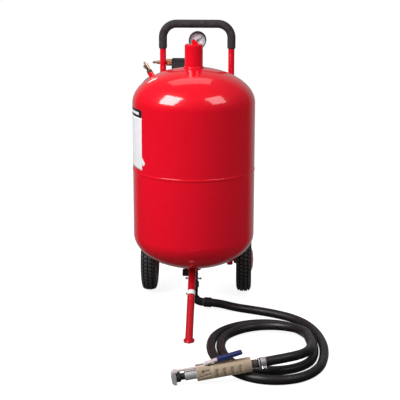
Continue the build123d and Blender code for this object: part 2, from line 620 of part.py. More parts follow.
with BuildPart() as outlet_elbow:
    with BuildLine():
        bend_line = FilletPolyline((0, TANK_Y, 54), (0, TANK_Y, 26), (33, TANK_Y, 26),
                                   radius=OUTLET_BEND - 0.5)
    with BuildSketch(Plane(origin=bend_line @ 0, z_dir=bend_line % 0)):
        Circle(12.4)
        Circle(8, mode=Mode.SUBTRACT)
    sweep(path=bend_line)
    add(blast_hose.part, mode=Mode.SUBTRACT)
outlet_elbow.part.label = "outlet_elbow"
export_step(outlet_elbow.part, "parts/outlet_elbow.step")

hose_start_dir = hose_line % 0
with BuildPart() as hose_ferrule:
    add(turned(HOSE_START, hose_start_dir, (0.5, HOSE_R + FIT), (0.5, 14.6), (1.5, 15),
               (22, 15), (23, 14.6), (23, HOSE_R + FIT)))
hose_ferrule.part.label = "hose_ferrule"
export_step(hose_ferrule.part, "parts/hose_ferrule.step")

# ------------------------------------------------------------------ air line to the mixing tee
air_points = [
    (-14, 486, 698), (-45, 455, 698), (-100, 432, 699), (-147, 422, 692), (-179, 420, 650),
    (-191, 420, 600), (-184, 430, 535), (-166, 458, 465), (-130, 491, 405), (-105, 491, 360),
    (-105, 491, 205), (-92, 492, 170), (-66, 452, 140), (-20, 384, 104), (0, 344, MIX_Z),
    (0, 318, MIX_Z)]

with BuildPart() as air_line:
    with BuildLine():
        air_path = FilletPolyline(*air_points, radius=largest_radii(air_points))
    with BuildSketch(Plane(origin=air_path @ 0, z_dir=air_path % 0)):
        Circle(AIR_LINE_R)
    sweep(path=air_path)
air_line.part.label = "air_line"
export_step(air_line.part, "parts/air_line.step")
print("air line length", round(air_path.length, 1),
      "radii", [round(r) for r in largest_radii(air_points)])

with BuildPart() as air_line_fittings:
    add(rod((0, AIR_Y, 720), (0, AIR_Y, 713), PIPE_R))
    add(hexagon_bar((0, AIR_Y, 714), (0, AIR_Y, 705), 14))
    add(rod((0, AIR_Y, 706), (0, AIR_Y, 691), 6.8))
    add(rod((0, AIR_Y, 698), air_points[0], 6.8))
    add(rod((0, AIR_Y, 727), (0, AIR_Y, 698), 3), mode=Mode.SUBTRACT)
    add(hexagon_bar((0, 304, MIX_Z), (0, 312, MIX_Z), 14))
    add(rod((0, 311, MIX_Z), air_points[-1], 6.6))
    add(rod((0, 303, MIX_Z), (0, 317, MIX_Z), 3), mode=Mode.SUBTRACT)
air_line_fittings.part.label = "air_line_fittings"
export_step(air_line_fittings.part, "parts/air_line_fittings.step")

with BuildPart() as air_line_clips:
    for clip_z in (241, 328):
        with BuildSketch(Plane.XY.offset(clip_z)):
            with Locations((-LEG_X, FRAME_Y)):
                Circle(TUBE_R + 1.6)
            with Locations((-LEG_X, 491)):
                Circle(AIR_LINE_R + 1.6)
            make_hull()
            with Locations((-LEG_X, FRAME_Y)):
                Circle(TUBE_R + FIT, mode=Mode.SUBTRACT)
            with Locations((-LEG_X, 491)):
                Circle(AIR_LINE_R + FIT, mode=Mode.SUBTRACT)
        extrude(amount=8)
air_line_clips.part.label = "air_line_clips"
export_step(air_line_clips.part, "parts/air_line_clips.step")

# ------------------------------------------------------------------ blast gun
BORE_R = 10.0               # the gun's inner tube, and the bore of its two body halves
SLOT_W = 9.5                # half width of the lever's slot in the body
STRAP_W = 8.5
NOZZLE_FACE = 24.2
PAD_FACE = 24.0

with BuildPart() as gun_tube:
    add(turned(GUN_TIP, gun_along, (46, 7), (46, BORE_R), (BODY_END, BORE_R), (BODY_END, 7)))
gun_tube.part.label = "gun_tube"
export_step(gun_tube.part, "parts/gun_tube.step")

with BuildPart() as nozzle:
    add(turned(GUN_TIP, gun_along, (NOZZLE_FACE, 3.2), (NOZZLE_FACE, 8.2), (25, 9), (42, 9),
               (42, 9.8), (46, 9.8), (46, 6), (36, 3.2)))
nozzle.part.label = "nozzle"
export_step(nozzle.part, "parts/nozzle.step")

with BuildPart() as nozzle_nut:
    add(turned(GUN_TIP, gun_along, (35, 9 + FIT), (35, 11.5), (36, 12.25),
               (BODY_START, 12.25), (BODY_START, BORE_R + FIT), (42, BORE_R + FIT),
               (42, 9 + FIT)))
nozzle_nut.part.label = "nozzle_nut"
export_step(nozzle_nut.part, "parts/nozzle_nut.step")

with BuildPart() as gun_body:
    add(turned(GUN_TIP, gun_along, (BODY_START, 0), (BODY_START, 18), (68, BODY_R),
               (206, BODY_R), (BODY_END, 18.5), (BODY_END, 0)))
    add(side_plate(12.5, (BODY_START, 0), (BODY_START, 22.5), (69, 25), (88, 25), (104, 19),
                   (104, 0)))
    add(turned(GUN_TIP, gun_along, (60, 0), (60, BORE_R + FIT), (215, BORE_R + FIT), (215, 0)),
        mode=Mode.SUBTRACT)
    add(side_plate(SLOT_W, (60, 5), (60, 22), (86, 22), (86, 30), (106, 30), (106, 19),
                   (98, 5)), mode=Mode.SUBTRACT)
    add(rod(gun_point(PIVOT_S, -16, PIVOT_H), gun_point(PIVOT_S, 16, PIVOT_H), 2 + FIT),
        mode=Mode.SUBTRACT)

with BuildPart() as gun_body_left:
    add(gun_body.part)
    split(bisect_by=GUN_SIDE, keep=Keep.TOP)
gun_body_left.part.label = "gun_body_left"
export_step(gun_body_left.part, "parts/gun_body_left.step")

with BuildPart() as gun_body_right:
    add(gun_body.part)
    split(bisect_by=GUN_SIDE, keep=Keep.BOTTOM)
gun_body_right.part.label = "gun_body_right"
export_step(gun_body_right.part, "parts/gun_body_right.step")

with BuildPart() as pivot_pin:
    add(rod(gun_point(PIVOT_S, -12.4, PIVOT_H), gun_point(PIVOT_S, 12.4, PIVOT_H), 2))
pivot_pin.part.label = "pivot_pin"
export_step(pivot_pin.part, "parts/pivot_pin.step")

with BuildPart() as gun_lever:
    add(side_plate(5, (17, 16), (84.7, 16), (89.9, 20), (88.6, 23), (83.5, 19), (17, 19)))
    add(side_plate(STRAP_W, (89, 19.3), (93.8, 23), (124.3, 28.5), (188, 36.6), (188, 39.6),
                   (123.8, 31.5), (92.4, 26), (87.6, 22.2)))
    with BuildSketch(GUN_SIDE):
        with Locations((PIVOT_S, PIVOT_H)):
            Circle(4.5)
    extrude(amount=5, both=True)
    add(rod(gun_point(PIVOT_S, -6, PIVOT_H), gun_point(PIVOT_S, 6, PIVOT_H), 2 + FIT),
        mode=Mode.SUBTRACT)
gun_lever.part.label = "gun_lever"
export_step(gun_lever.part, "parts/gun_lever.step")

with BuildPart() as lever_grip:
    add(side_plate(10, (124, 26.4), (186, 34.3), (191, 37), (191, 40), (188, 41.5),
                   (124, 33.4)))
    add(gun_lever.part, mode=Mode.SUBTRACT)
lever_grip.part.label = "lever_grip"
export_step(lever_grip.part, "parts/lever_grip.step")

with BuildPart() as stopper_head:
    add(side_plate(11, (0, -11), (5, -17), (12, -17), (12, 15), (17, 15), (17, 19), (6, 19),
                   (0, 12)))
stopper_head.part.label = "stopper_head"
export_step(stopper_head.part, "parts/stopper_head.step")

with BuildPart() as stopper_pad:
    add(turned(GUN_TIP, gun_along, (12, 0), (12, 13), (22.5, 13), (PAD_FACE, 11.5),
               (PAD_FACE, 0)))
stopper_pad.part.label = "stopper_pad"
export_step(stopper_pad.part, "parts/stopper_pad.step")

with BuildPart() as lever_spring:
    with BuildLine():
        turns = Helix(pitch=1.5, height=3, radius=3.4, center=gun_point(PIVOT_S, 5.8, PIVOT_H),
                      direction=gun_right)
    with BuildSketch(Plane(origin=turns @ 0, z_dir=turns % 0)):
        Circle(0.5)
    sweep(path=turns, is_frenet=True)
lever_spring.part.label = "lever_spring"
export_step(lever_spring.part, "parts/lever_spring.step")

with BuildPart() as gun_coupling:
    add(turned(GUN_TIP, gun_along, (BODY_END, 6), (BODY_END, 10.7), (226, 10.7), (226, 9),
               (GUN_END, 9), (GUN_END, 6)))
gun_coupling.part.label = "gun_coupling"
export_step(gun_coupling.part, "parts/gun_coupling.step")

CLAMP_S = 242.0
clamp_out = (gun_right * -1 + gun_up * -1).normalized()
with BuildPart() as hose_clamp:
    add(turned(GUN_TIP, gun_along, (CLAMP_S - 7, HOSE_R + FIT), (CLAMP_S - 7, 13.7),
               (CLAMP_S + 7, 13.7), (CLAMP_S + 7, HOSE_R + FIT)))
    with BuildSketch(Plane(origin=gun_point(CLAMP_S, 0, 0) + clamp_out * 13.2,
                           x_dir=gun_along, z_dir=clamp_out)):
        RectangleRounded(13, 12, 2)
    extrude(amount=7.5)
    add(rod(gun_point(CLAMP_S, 0, 0) + clamp_out * 17.5 + gun_along.cross(clamp_out) * -9,
            gun_point(CLAMP_S, 0, 0) + clamp_out * 17.5 + gun_along.cross(clamp_out) * 9, 3))
hose_clamp.part.label = "hose_clamp"
export_step(hose_clamp.part, "parts/hose_clamp.step")
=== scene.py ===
import math

import bpy
import bmesh
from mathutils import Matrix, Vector
from mathutils import noise


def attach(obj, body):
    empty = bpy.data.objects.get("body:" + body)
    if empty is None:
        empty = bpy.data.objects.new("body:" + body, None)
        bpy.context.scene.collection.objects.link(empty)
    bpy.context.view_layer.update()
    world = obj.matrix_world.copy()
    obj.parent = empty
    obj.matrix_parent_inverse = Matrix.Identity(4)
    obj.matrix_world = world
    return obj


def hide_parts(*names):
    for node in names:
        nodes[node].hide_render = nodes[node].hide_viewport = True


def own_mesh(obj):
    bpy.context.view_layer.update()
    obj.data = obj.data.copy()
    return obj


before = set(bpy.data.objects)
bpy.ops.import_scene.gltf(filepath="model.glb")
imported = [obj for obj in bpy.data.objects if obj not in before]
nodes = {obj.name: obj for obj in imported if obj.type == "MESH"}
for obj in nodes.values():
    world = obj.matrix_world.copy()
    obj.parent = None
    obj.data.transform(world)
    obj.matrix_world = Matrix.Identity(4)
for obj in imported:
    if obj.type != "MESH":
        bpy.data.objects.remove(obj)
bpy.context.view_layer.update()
scene = bpy.context.scene

# ---------------------------------------------------------------- camera
camera_data = bpy.data.cameras.new("camera")
camera_data.lens = 108.0
camera_data.sensor_width = 36.0
camera_data.shift_x = 0.0156
camera_data.clip_end = 100.0
camera = bpy.data.objects.new("camera", camera_data)
camera.location = (0.1761, -3.2065, 1.214)
camera.rotation_euler = (math.radians(76.0), 0.0, math.radians(2.9))
scene.collection.objects.link(camera)
scene.camera = camera

# ---------------------------------------------------------------- blast hose
HOSE_DIAMETER = 0.0254
HOSE_ROUTE = [
    (0.031, 0.270, 0.026), (0.075, 0.271, 0.023), (0.122, 0.264, 0.0128),
    (0.182, 0.240, 0.0128), (0.248, 0.210, 0.0128), (0.306, 0.168, 0.0128),
    (0.347, 0.104, 0.0128), (0.370, 0.022, 0.0128), (0.379, -0.063, 0.0128),
    (0.374, -0.145, 0.0128), (0.358, -0.220, 0.0128), (0.318, -0.279, 0.0128),
    (0.264, -0.306, 0.0128), (0.204, -0.305, 0.0128), (0.150, -0.274, 0.0128),
    (0.101, -0.208, 0.0128), (0.071, -0.132, 0.0128), (0.062, -0.054, 0.0128),
    (0.074, 0.024, 0.0128), (0.119, 0.088, 0.0128), (0.184, 0.123, 0.0128),
    (0.251, 0.123, 0.0128), (0.308, 0.088, 0.0128), (0.340, 0.027, 0.0128),
    (0.350, -0.042, 0.0128), (0.350, -0.110, 0.0128), (0.336, -0.178, 0.0128),
    (0.289, -0.228, 0.0128), (0.226, -0.246, 0.0128), (0.163, -0.229, 0.0128),
    (0.118, -0.182, 0.0128), (0.097, -0.115, 0.0128), (0.090, -0.052, 0.0128),
    (0.101, 0.015, 0.0128), (0.140, 0.064, 0.014), (0.192, 0.088, 0.017),
    (0.249, 0.084, 0.021), (0.298, 0.055, 0.026), (0.330, 0.003, 0.035),
    (0.337, -0.068, 0.039), (0.342, -0.140, 0.045), (0.319, -0.223, 0.055),
    (0.2481, -0.2713, 0.0569), (0.1954, -0.2806, 0.0496),
]

hose_curve = bpy.data.curves.new("blast_hose_cover", "CURVE")
hose_curve.dimensions = "3D"
hose_curve.bevel_depth = 1.0
hose_curve.bevel_resolution = 7
hose_curve.use_fill_caps = True
hose_curve.resolution_u = 12
hose_line = hose_curve.splines.new("NURBS")
hose_line.points.add(len(HOSE_ROUTE) - 1)
for point, place in zip(hose_line.points, HOSE_ROUTE):
    point.co = (*place, 1.0)
    point.radius = HOSE_DIAMETER / 2
hose_line.order_u = 3
hose_line.use_endpoint_u = True
hose = bpy.data.objects.new("blast_hose_cover", hose_curve)
scene.collection.objects.link(hose)
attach(hose, "frame")
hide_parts("blast_hose")


# ---------------------------------------------------------------- materials
class Surface:
    """A Principled material and the nodes that give it colour, roughness and bump."""

    def __init__(self, name, roughness=0.5, metallic=0.0, **sockets):
        self.material = bpy.data.materials.new(name)
        self.material.use_nodes = True
        self.tree = self.material.node_tree
        self.shader = self.tree.nodes["Principled BSDF"]
        self.shader.inputs["Roughness"].default_value = roughness
        self.shader.inputs["Metallic"].default_value = metallic
        for socket, value in sockets.items():
            self.shader.inputs[socket.replace("_", " ")].default_value = value
        self.coordinates = self.tree.nodes.new("ShaderNodeTexCoord").outputs["Object"]
        self.heights = []

    def link(self, start, end):
        self.tree.links.new(start, end)

    def noise(self, scale, detail=3.0, rough=0.55):
        texture = self.tree.nodes.new("ShaderNodeTexNoise")
        texture.inputs["Scale"].default_value = scale
        texture.inputs["Detail"].default_value = detail
        texture.inputs["Roughness"].default_value = rough
        self.link(self.coordinates, texture.inputs["Vector"])
        return texture.outputs["Fac"]

    def cells(self, scale):
        texture = self.tree.nodes.new("ShaderNodeTexVoronoi")
        texture.inputs["Scale"].default_value = scale
        self.link(self.coordinates, texture.inputs["Vector"])
        return texture.outputs["Distance"]

    def ramp(self, source, *stops):
        """A colour ramp with stops of (position, colour)."""
        ramp = self.tree.nodes.new("ShaderNodeValToRGB")
        elements = ramp.color_ramp.elements
        while len(elements) < len(stops):
            elements.new(0.5)
        for element, (position, colour) in zip(elements, stops):
            element.position = position
            element.color = (*colour, 1.0)
        self.link(source, ramp.inputs["Fac"])
        return ramp.outputs["Color"]

    def span(self, source, low, high):
        """Noise, which lies mostly from 0.3 to 0.7, spread over the range from low to high."""
        spread = self.tree.nodes.new("ShaderNodeMapRange")
        spread.inputs["From Min"].default_value = 0.3
        spread.inputs["From Max"].default_value = 0.7
        spread.inputs["To Min"].default_value = low
        spread.inputs["To Max"].default_value = high
        self.link(source, spread.inputs["Value"])
        return spread.outputs["Result"]

    def edges(self, low=0.49, high=0.56):
        """Light where the surface is sharply convex."""
        geometry = self.tree.nodes.new("ShaderNodeNewGeometry")
        spread = self.tree.nodes.new("ShaderNodeMapRange")
        spread.inputs["From Min"].default_value = low
        spread.inputs["From Max"].default_value = high
        self.link(geometry.outputs["Pointiness"], spread.inputs["Value"])
        return spread.outputs["Result"]

    def mixed(self, factor, first, second):
        """The first colour turning into the second one as the factor goes from 0 to 1."""
        mix = self.tree.nodes.new("ShaderNodeMix")
        mix.data_type = "RGBA"
        self.link(factor, mix.inputs["Factor"])
        for value, socket in ((first, mix.inputs["A"]), (second, mix.inputs["B"])):
            if isinstance(value, tuple):
                socket.default_value = (*value, 1.0)
            else:
                self.link(value, socket)
        return mix.outputs["Result"]

    def colour(self, value):
        if isinstance(value, tuple):
            self.shader.inputs["Base Color"].default_value = (*value, 1.0)
        else:
            self.link(value, self.shader.inputs["Base Color"])

    def roughness(self, source):
        self.link(source, self.shader.inputs["Roughness"])

    def bump(self, source, distance, strength=1.0):
        """Adds a layer of relief, distance deep in metres."""
        bump = self.tree.nodes.new("ShaderNodeBump")
        bump.inputs["Strength"].default_value = strength
        bump.inputs["Distance"].default_value = distance
        self.link(source, bump.inputs["Height"])
        if self.heights:
            self.link(self.heights[-1], bump.inputs["Normal"])
        self.heights.append(bump.outputs["Normal"])
        self.link(bump.outputs["Normal"], self.shader.inputs["Normal"])


def red_paint(name, depth):
    """Glossy red powder coat; a depth below 1 darkens the same red as painted shade."""
    look = Surface(name, 0.3, Specular_IOR_Level=0.15, Coat_Weight=1.0,
                   Coat_Roughness=0.09, Coat_IOR=1.62)
    tone = look.noise(2.2, 2.0)
    grime = look.noise(34.0, 6.0, 0.62)
    paint = look.ramp(tone, (0.3, (0.72 * depth, 0.0002, 0.012 * depth)),
                      (0.7, (0.78 * depth, 0.0006, 0.018 * depth)))
    dirt = look.ramp(grime, (0.6, (0.0, 0.0, 0.0)), (0.9, (0.1, 0.1, 0.1)))
    look.colour(look.mixed(dirt, paint, (0.50 * depth, 0.001, 0.008)))
    look.roughness(look.span(look.noise(60.0, 4.0), 0.26, 0.38))
    look.bump(look.noise(380.0, 2.0), 0.00005)
    look.bump(look.noise(9.0, 2.0), 0.0009, 0.2)
    return look.material


def cast_black():
    """Black cast iron with a coarse skin, paler where its edges are worn."""
    look = Surface("cast_black", 0.5, Specular_IOR_Level=0.3)
    tone = look.noise(55.0, 5.0)
    body = look.ramp(tone, (0.35, (0.006, 0.006, 0.007)), (0.65, (0.016, 0.015, 0.015)))
    look.colour(look.mixed(look.edges(0.51, 0.6), body, (0.07, 0.062, 0.058)))
    look.roughness(look.span(look.noise(90.0, 4.0), 0.38, 0.62))
    look.bump(look.noise(700.0, 4.0), 0.00025, 0.8)
    return look.material


def metal(name, low, high, roughness, worn=None, metallic=1.0):
    """Metal between two tones and two roughnesses, with a worn colour along its edges."""
    look = Surface(name, sum(roughness) / 2, metallic)
    tone = look.noise(60.0, 5.0, 0.6)
    base = look.ramp(tone, (0.32, low), (0.68, high))
    look.colour(look.mixed(look.edges(), base, worn) if worn else base)
    look.roughness(look.span(look.noise(130.0, 4.0), *roughness))
    look.bump(look.noise(900.0), 0.00006, 0.6)
    return look.material


def plastic(name, low, high, roughness, texture=1400.0, depth=0.00008, edge=None, shine=0.5):
    """Moulded plastic with a fine texture of the given scale and depth."""
    look = Surface(name, sum(roughness) / 2, Specular_IOR_Level=shine)
    base = look.ramp(look.noise(48.0, 4.0), (0.3, low), (0.7, high))
    look.colour(look.mixed(look.edges(), base, edge) if edge else base)
    look.roughness(look.span(look.noise(75.0, 4.0), *roughness))
    look.bump(look.noise(texture, 2.0), depth, 0.7)
    return look.material


def rubber(name, low, high, roughness, dust=None):
    """Rubber with a fine grain, and dust along its edges where a colour for it is given."""
    look = Surface(name, sum(roughness) / 2, Specular_IOR_Level=0.45)
    base = look.ramp(look.noise(28.0, 6.0, 0.6), (0.3, low), (0.7, high))
    look.colour(look.mixed(look.edges(), base, dust) if dust else base)
    look.roughness(look.span(look.noise(46.0, 5.0), *roughness))
    look.bump(look.noise(1100.0), 0.00012, 0.7)
    return look.material


def foam_skin():
    """Open-cell foam, matt and slightly lumpy."""
    look = Surface("foam", 0.9, Specular_IOR_Level=0.15)
    tone = look.noise(90.0, 8.0, 0.7)
    look.colour(look.ramp(tone, (0.3, (0.020, 0.017, 0.019)), (0.7, (0.060, 0.053, 0.056))))
    look.roughness(look.span(look.noise(200.0, 4.0), 0.78, 0.98))
    look.bump(look.cells(620.0), 0.0006, 0.6)
    look.bump(look.noise(55.0, 4.0), 0.0012, 0.5)
    return look.material


def clear(name, colour, roughness):
    """A thin clear window."""
    look = Surface(name, roughness, Alpha=0.05, IOR=1.45)
    look.colour(look.ramp(look.noise(40.0, 3.0), (0.3, colour), (0.7, (0.98, 0.99, 1.0))))
    look.roughness(look.span(look.noise(180.0, 5.0), roughness * 0.5, roughness * 1.6))
    look.bump(look.noise(500.0, 2.0), 0.00001, 0.3)
    return look.material


MATERIALS = {
    "red_paint": red_paint("red_paint", 1.0),
    # The darker red below is the same paint with painted shade, for parts that sit in shade.
    "red_paint_shaded": red_paint("red_paint_shaded", 0.62),
    "black_cast": cast_black(),
    "brass": metal("brass", (0.46, 0.27, 0.12), (0.72, 0.48, 0.26), (0.22, 0.42),
                   worn=(0.85, 0.66, 0.42)),
    "zinc_steel": metal("zinc_steel", (0.40, 0.39, 0.39), (0.56, 0.55, 0.56), (0.34, 0.52),
                        worn=(0.82, 0.81, 0.82), metallic=0.6),
    "clamp_steel": metal("clamp_steel", (0.16, 0.13, 0.125), (0.40, 0.37, 0.36), (0.25, 0.4),
                         worn=(0.75, 0.73, 0.72), metallic=0.8),
    "spring_steel": metal("spring_steel", (0.30, 0.30, 0.31), (0.48, 0.48, 0.50), (0.2, 0.4)),
    "black_plastic": plastic("black_plastic", (0.006, 0.006, 0.007), (0.013, 0.013, 0.014),
                             (0.34, 0.52), edge=(0.04, 0.04, 0.041), shine=0.1),
    "filter_bronze": plastic("filter_bronze", (0.30, 0.19, 0.10), (0.48, 0.33, 0.19),
                             (0.6, 0.8), 1800.0, 0.0003),
    "gauge_face": plastic("gauge_face", (0.84, 0.89, 0.97), (0.90, 0.94, 1.0), (0.45, 0.6)),
    "needle_black": plastic("needle_black", (0.008, 0.008, 0.008), (0.014, 0.014, 0.014),
                            (0.4, 0.55)),
    "gauge_glass": clear("gauge_glass", (0.95, 0.97, 0.98), 0.03),
    "foam": foam_skin(),
    "tyre_rubber": rubber("tyre_rubber", (0.005, 0.005, 0.005), (0.011, 0.010, 0.010),
                          (0.5, 0.75), dust=(0.05, 0.048, 0.046)),
    "hose_rubber": rubber("hose_rubber", (0.007, 0.0055, 0.006), (0.015, 0.0125, 0.014),
                          (0.34, 0.52)),
    "line_rubber": rubber("line_rubber", (0.006, 0.006, 0.006), (0.013, 0.012, 0.012),
                          (0.4, 0.6)),
    "gasket_rubber": rubber("gasket_rubber", (0.012, 0.011, 0.010), (0.030, 0.027, 0.025),
                            (0.5, 0.75)),
    "tan_plastic": plastic("tan_plastic", (0.30, 0.215, 0.145), (0.39, 0.29, 0.20),
                           (0.42, 0.6), edge=(0.52, 0.42, 0.31)),
    "blue_grip": plastic("blue_grip", (0.001, 0.018, 0.085), (0.002, 0.034, 0.14),
                         (0.42, 0.58), 700.0, 0.0001),
    "ceramic": plastic("ceramic", (0.010, 0.010, 0.011), (0.020, 0.019, 0.019), (0.3, 0.5)),
    "chrome_steel": metal("chrome_steel", (0.66, 0.65, 0.67), (0.82, 0.81, 0.84), (0.16, 0.3),
                          worn=(0.9, 0.9, 0.92), metallic=0.7),
    "red_gasket": rubber("red_gasket", (0.30, 0.0, 0.006), (0.42, 0.002, 0.01), (0.45, 0.6)),
}

SLOTS = {
    "red_paint": ("tank_upper_shell", "tank_lower_shell", "filler_neck", "filler_cap",
                  "threaded_bungs", "handle_tube"),
    # The brackets, front leg, foot pad and wheel rims take the darker red, which is painted shade.
    "red_paint_shaded": ("tank_brackets", "front_leg", "foot_pad", "wheel_left_rim",
                       "wheel_right_rim"),
    "black_cast": ("inlet_elbow", "media_valve_body",
                   "cleanout_plug", "mixing_tee", "outlet_elbow", "gun_coupling"),
    "brass": ("safety_valve_body", "safety_stem", "air_plug", "pipe_nipples", "gauge_socket",
              "media_valve_plug", "air_line_fittings"),
    "zinc_steel": ("safety_ring", "axle", "axle_washers", "axle_caps", "valve_t_bar",
                   "gun_tube", "gun_lever", "stopper_head", "pivot_pin"),
    "spring_steel": ("lever_spring",),
    "black_plastic": ("separator_head", "separator_bowl", "separator_drain",
                      "air_line_clips", "gauge_case", "manifold_cross"),
    "filter_bronze": ("separator_filter",),
    "gauge_face": ("gauge_dial",),
    "needle_black": ("gauge_needle",),
    "gauge_glass": ("gauge_lens",),
    "line_rubber": ("air_line", "hose_ferrule"),
    "gasket_rubber": ("stopper_pad",),
    "red_gasket": ("cap_gasket",),
    "blue_grip": ("lever_grip",),
    "ceramic": ("nozzle",),
    "chrome_steel": ("nozzle_nut",),
    "clamp_steel": ("hose_clamp",),
}


def paint(obj, material):
    """Gives the whole object one material."""
    obj.data.materials.clear()
    obj.data.materials.append(material)


for slot_name, names in SLOTS.items():
    for name in names:
        paint(nodes[name], MATERIALS[slot_name])
paint(hose, MATERIALS["hose_rubber"])


# ---------------------------------------------------------------- mesh helpers
def add_piece(name, verts, faces, body, slot_name, material=None, smooth=True):
    """A new mesh object that rides on a body, with the given material or else the slot's material.
    """
    mesh = bpy.data.meshes.new(name)
    mesh.from_pydata([tuple(v) for v in verts], [], faces)
    mesh.validate()
    work = bmesh.new()
    work.from_mesh(mesh)
    bmesh.ops.recalc_face_normals(work, faces=work.faces)
    work.to_mesh(mesh)
    work.free()
    if smooth:
        mesh.shade_smooth()
    obj = bpy.data.objects.new(name, mesh)
    scene.collection.objects.link(obj)
    paint(obj, material or MATERIALS[slot_name])
    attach(obj, body)
    return obj


def loft(sections, ring=False):
    """Vertices and faces of a skin over sections of equal count.

    The two ends are closed by a face, or as a ring the last section meets the first one.
    """
    count = len(sections[0])
    rows = len(sections)
    verts = [place for section in sections for place in section]
    faces = []
    for row in range(rows if ring else rows - 1):
        after = (row + 1) % rows
        for column in range(count):
            ahead = (column + 1) % count
            faces.append((row * count + column, row * count + ahead,
                          after * count + ahead, after * count + column))
    if not ring:
        last = (rows - 1) * count
        faces.append(tuple(reversed(range(count))))
        faces.append(tuple(range(last, last + count)))
    return verts, faces


def circle(middle, side, other, radius, count):
    """Points round a middle, in the plane of two directions at right angles."""
    places = []
    for index in range(count):
        a = 2 * math.pi * index / count
        places.append(middle + (side * math.cos(a) + other * math.sin(a)) * radius)
    return places


def crease(obj, angle):
    """Makes an edge sharp where the surface turns by more than the angle, in degrees."""
    work = bmesh.new()
    work.from_mesh(obj.data)
    for edge in work.edges:
        if len(edge.link_faces) == 2:
            edge.smooth = edge.calc_face_angle() < math.radians(angle)
    work.to_mesh(obj.data)
    work.free()


# ---------------------------------------------------------------- tyres
WHEEL_Y = 0.475
WHEEL_Z = 0.1016
WHEEL_X = 0.150
PITCHES = 50
STEPS = 8
GROOVE_STEPS = (0, 1)
GROOVE_DEPTH = 0.0034
SHOULDER_DEPTH = GROOVE_DEPTH * 0.5
TREAD_R = 0.0985
SHOULDER_R = 0.094
BLOCK_SHIFT = (0, 4, 6, 0)


def tyre_profile():
    """(across, radius, block column or None) round the tyre's section, in metres."""
    points = [(-0.0180, 0.0420, None), (-0.0190, 0.0470, None), (-0.0205, 0.0500, None)]
    points += [(-0.0226, 0.0580, None), (-0.0238, 0.0660, None), (-0.0240, 0.0720, None)]
    points += [(-0.0238, 0.0780, None), (-0.0236, 0.0820, None)]
    points += [(-0.0234, 0.0850, 0), (-0.0222, 0.0906, 0), (-0.0200, 0.0958, 0)]
    points += [(-0.0168, 0.0984, 0), (-0.0145, 0.0993, 0)]
    points += [(-0.0138, 0.0994, None), (-0.0122, 0.0999, None)]
    points += [(-0.0115, 0.1000, 1), (-0.0060, 0.1010, 1), (-0.0018, 0.1014, 1)]
    points += [(-0.0010, 0.1014, None), (0.0010, 0.1014, None)]
    mirrored = [(-x, r, None if c is None else 3 - c) for x, r, c in reversed(points[:-2])]
    return points + mirrored


def tyre(side, name):
    """A tyre on its wheel, with grooves round the tread and across each column of blocks."""
    profile = tyre_profile()
    sections = []
    total = PITCHES * STEPS
    for step in range(total):
        angle = 2 * math.pi * step / total
        section = []
        for across, radius, column in profile:
            if column is None:
                grooved = radius > TREAD_R
            else:
                grooved = (step + BLOCK_SHIFT[column]) % STEPS in GROOVE_STEPS
            depth = 0.0
            if grooved:
                depth = SHOULDER_DEPTH if column in (0, 3) and radius < SHOULDER_R else GROOVE_DEPTH
            reach = radius - depth
            section.append((side * WHEEL_X + across, WHEEL_Y + reach * math.sin(angle),
                            WHEEL_Z + reach * math.cos(angle)))
        sections.append(section)
    tread = add_piece(f"{name}_tread", *loft(sections, ring=True), name, "tyre_rubber")
    crease(tread, 38.0)
    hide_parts(f"{name}_tyre")


tyre(-1, "wheel_left")
tyre(1, "wheel_right")

# ---------------------------------------------------------------- foam grip
LEG_X = 0.105
BAR_Z = 0.8497
BEND = 0.042
FOAM_LOW = 0.774
FOAM_R = 0.01265
TUBE_R = 0.0097
FOAM_ROUNDING = 0.0022
ROUNDING_REACH = 0.0035
FOAM_DENT = 0.0003
PATH_STEP = 0.003


def handle_path():
    """(point, direction, distance to the nearer end) along the handle's top, leg to leg."""
    rows = []
    rise = BAR_Z - BEND - FOAM_LOW
    turn = BEND * math.pi / 2
    flat = 2 * (LEG_X - BEND)
    total = 2 * rise + 2 * turn + flat
    count = round(total / PATH_STEP)
    for index in range(count + 1):
        s = total * index / count
        t = min(s, total - s)
        if t <= rise:
            x, z, dx, dz = -LEG_X, FOAM_LOW + t, 0.0, 1.0
        elif t <= rise + turn:
            a = (t - rise) / BEND
            x = -LEG_X + BEND * (1 - math.cos(a))
            z = BAR_Z - BEND + BEND * math.sin(a)
            dx, dz = math.sin(a), math.cos(a)
        else:
            x, z, dx, dz = -LEG_X + BEND + t - rise - turn, BAR_Z, 1.0, 0.0
        if s > total / 2:
            x, dz = -x, -dz
        rows.append((Vector((x, WHEEL_Y, z)), Vector((dx, 0.0, dz)), t))
    return rows


def foam_sections():
    """Rings of the sleeve's lumpy outside, and then of its inside on the tube, back again."""
    side = Vector((0.0, 1.0, 0.0))
    outside = []
    inside = []
    for point, direction, end in handle_path():
        other = direction.cross(side)
        radius = FOAM_R - FOAM_ROUNDING * (1 - min(1.0, end / ROUNDING_REACH)) ** 2
        section = []
        for out in circle(Vector(), side, other, 1.0, 40):
            dent = FOAM_DENT * noise.noise((point + out * 0.012) * 60.0)
            section.append(point + out * (radius - abs(dent)))
        outside.append(section)
        inside.append(circle(point, side, other, TUBE_R, 40))
    return outside + inside[::-1]


foam = add_piece("foam_sleeve", *loft(foam_sections(), ring=True), "frame", "foam")
crease(foam, 50.0)
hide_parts("foam_grip")

# ---------------------------------------------------------------- relief valve spring
VALVE_OUT = Vector((-0.494, 0.142, 0.8576)).normalized()
VALVE_SEAT = Vector((-0.125, 0.306, 0.7122)) + VALVE_OUT * 0.012
SPRING_START = 0.0148
SPRING_RISE = 0.0095
SPRING_TURNS = 5
RINGS_PER_TURN = 32
SPRING_R = 0.0032
WIRE_R = 0.0004


